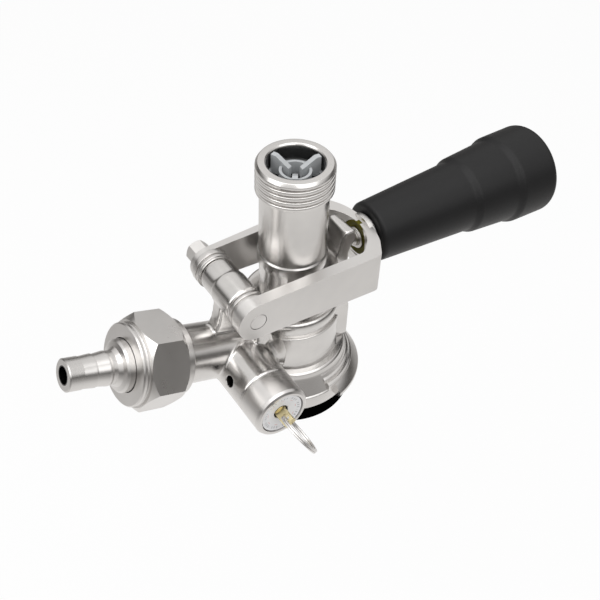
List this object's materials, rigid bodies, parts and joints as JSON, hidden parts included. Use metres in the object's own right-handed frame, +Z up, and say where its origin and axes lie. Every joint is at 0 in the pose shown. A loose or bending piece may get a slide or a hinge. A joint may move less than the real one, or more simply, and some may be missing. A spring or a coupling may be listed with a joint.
{
  "type": "keg coupler",
  "caption": "Twist-lock keg coupler with a levered probe, a pull-out latch grip, a side gas inlet with hose tail, a threaded beer outlet and a relief valve with a pull ring.",
  "frame": {"origin": "on the probe's axis, in the plane of the keg seal's lower face", "axes": "+Z up along the probe towards the beer outlet, +X towards the grip, so the gas inlet leaves towards -X and the relief valve towards -Y"},
  "size_m": [0.1737, 0.069, 0.1],
  "materials": {
    "cast_steel": "polished casting with soft edges",
    "turned_steel": "fine turned and polished",
    "lever_steel": "satin, bead blasted",
    "spring_steel": "drawn wire",
    "brass": "bright pale brass",
    "black_rubber": "matt black",
    "clear_rubber": "translucent silicone",
    "black_grip": "fine satin texture",
    "grey_plastic": "moulded light grey",
    "ball_plastic": "smooth grey",
    "white_dial": "white, slightly glossy",
    "white_nylon": "white nylon",
    "olive_plastic": "dark olive yellow"
  },
  "bodies": {
    "body": {"body_casting": "cast_steel", "keg_seal": "black_rubber", "neck_seals": "black_rubber", "hinge_spacers": "turned_steel", "gas_check_valve": "clear_rubber", "tail_washer": "white_nylon", "tail_piece": "turned_steel", "gas_nut": "turned_steel", "prv_cap": "turned_steel", "prv_dial": "white_dial"},
    "lever": {"lever_yoke": "lever_steel", "hinge_bolt": "turned_steel", "drive_pins": "turned_steel", "drive_rollers": "turned_steel", "latch_bush": "olive_plastic", "grip_core": "turned_steel"},
    "grip": {"grip": "black_grip", "grip_screw": "turned_steel", "grip_washer": "turned_steel", "grip_plug": "black_grip", "latch_plunger": "turned_steel", "latch_spring": "spring_steel"},
    "probe": {"probe_tube": "turned_steel", "probe_tip_seal": "black_rubber", "valve_cage": "grey_plastic"},
    "check_ball": {"check_ball": "ball_plastic"},
    "prv": {"prv_stem": "brass", "prv_poppet": "black_rubber", "prv_spring": "spring_steel"},
    "pull_ring": {"pull_ring": "spring_steel"}
  },
  "joints": [
    {"name": "lever_hinge", "type": "hinge", "parent": "body", "child": "lever", "pos_m": [-0.0217, 0, 0.051], "axis": [0, -1, 0], "range_deg": [0, 36]},
    {"name": "probe_lift", "type": "slide", "parent": "body", "child": "probe", "axis": [0, 0, 1], "range_m": [0, 0.01285]},
    {"name": "grip_pull", "type": "slide", "parent": "lever", "child": "grip", "axis": [1, 0, 0], "range_m": [0, 0.005], "stiffness_N_per_m": 900, "springref_m": -0.006, "deforming": ["latch_spring"]},
    {"name": "ball_float", "type": "slide", "parent": "probe", "child": "check_ball", "axis": [0, 0, 1], "range_m": [0, 0.0025]},
    {"name": "prv_pull", "type": "slide", "parent": "body", "child": "prv", "axis": [0, -1, 0], "range_m": [0, 0.0025], "stiffness_N_per_m": 1500, "springref_m": -0.003, "deforming": ["prv_spring"]},
    {"name": "ring_swing", "type": "hinge", "parent": "prv", "child": "pull_ring", "pos_m": [-0.0217, -0.0323, 0.0244], "axis": [-0.509, 0, 0.8607], "range_deg": [-70, 70]}
  ],
  "couplings": [
    {"joint": "probe_lift", "follows": "lever_hinge", "m_per_rad": 0.0204}
  ]
}
